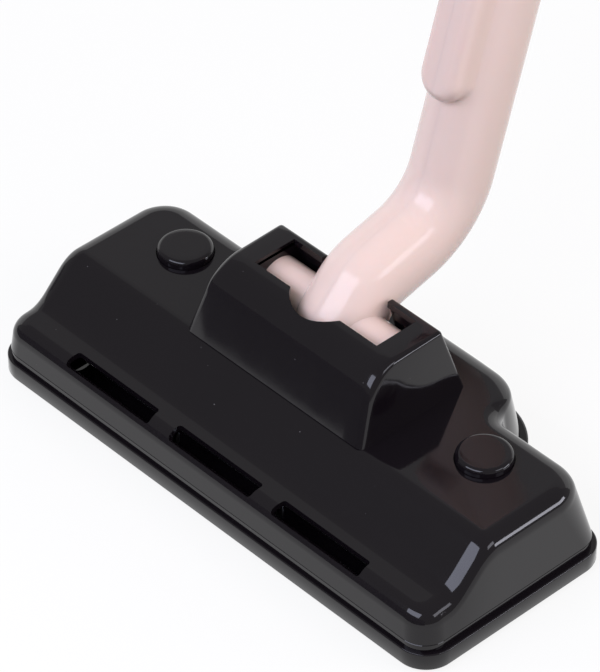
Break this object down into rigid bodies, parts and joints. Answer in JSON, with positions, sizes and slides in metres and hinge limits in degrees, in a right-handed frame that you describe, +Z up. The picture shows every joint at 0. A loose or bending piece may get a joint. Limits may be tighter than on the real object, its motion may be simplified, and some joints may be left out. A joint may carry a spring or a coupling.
{
  "type": "toy vacuum cleaner floor head",
  "caption": "Toy vacuum cleaner floor head in glossy black plastic with front slots, foot buttons and a tilting pale pink cranked wand.",
  "frame": {"origin": "on the ground under the wheels, below the middle of the part's bounding box", "axes": "+X along the head to its right end, +Y to the rear, where the wand leaves, +Z up"},
  "size_m": [0.21, 0.1562, 0.1883],
  "materials": {
    "black_gloss_plastic": "polished moulded black plastic with a soft shine",
    "pale_pink_gloss_plastic": "glossy moulded pale pink plastic",
    "plated_steel": "bright zinc plating"
  },
  "bodies": {
    "head": {"base_plate": "black_gloss_plastic", "head_cover": "black_gloss_plastic", "pivot_housing": "black_gloss_plastic", "left_trunnion_saddle": "black_gloss_plastic", "right_trunnion_saddle": "black_gloss_plastic", "left_button_spring": "plated_steel", "right_button_spring": "plated_steel", "front_axle_keepers": "black_gloss_plastic", "rear_axle_keepers": "black_gloss_plastic", "base_screws": "plated_steel", "housing_screws": "plated_steel"},
    "wand": {"wand_left_half": "pale_pink_gloss_plastic", "wand_right_half": "pale_pink_gloss_plastic", "wand_socket": "pale_pink_gloss_plastic", "wand_screws": "plated_steel"},
    "front_wheels": {"front_axle": "plated_steel", "front_left_wheel": "black_gloss_plastic", "front_right_wheel": "black_gloss_plastic"},
    "rear_wheels": {"rear_axle": "plated_steel", "rear_left_wheel": "black_gloss_plastic", "rear_right_wheel": "black_gloss_plastic"},
    "left_foot_button": {"left_button": "black_gloss_plastic"},
    "right_foot_button": {"right_button": "black_gloss_plastic"}
  },
  "joints": [
    {"name": "wand_tilt", "type": "hinge", "parent": "head", "child": "wand", "pos_m": [0, -0.01663, 0.0508], "axis": [1, 0, 0], "range_deg": [-25, 20]},
    {"name": "front_wheels_roll", "type": "hinge", "parent": "head", "child": "front_wheels", "pos_m": [0, -0.05713, 0.008], "axis": [1, 0, 0], "continuous": true},
    {"name": "rear_wheels_roll", "type": "hinge", "parent": "head", "child": "rear_wheels", "pos_m": [0, 0.00987, 0.008], "axis": [1, 0, 0], "continuous": true},
    {"name": "left_button_press", "type": "slide", "parent": "head", "child": "left_foot_button", "axis": [0, 0, -1], "range_m": [0, 0.0015], "stiffness_N_per_m": 600, "springref_m": -0.001, "deforming": ["left_button_spring"]},
    {"name": "right_button_press", "type": "slide", "parent": "head", "child": "right_foot_button", "axis": [0, 0, -1], "range_m": [0, 0.0015], "stiffness_N_per_m": 600, "springref_m": -0.001, "deforming": ["right_button_spring"]}
  ]
}
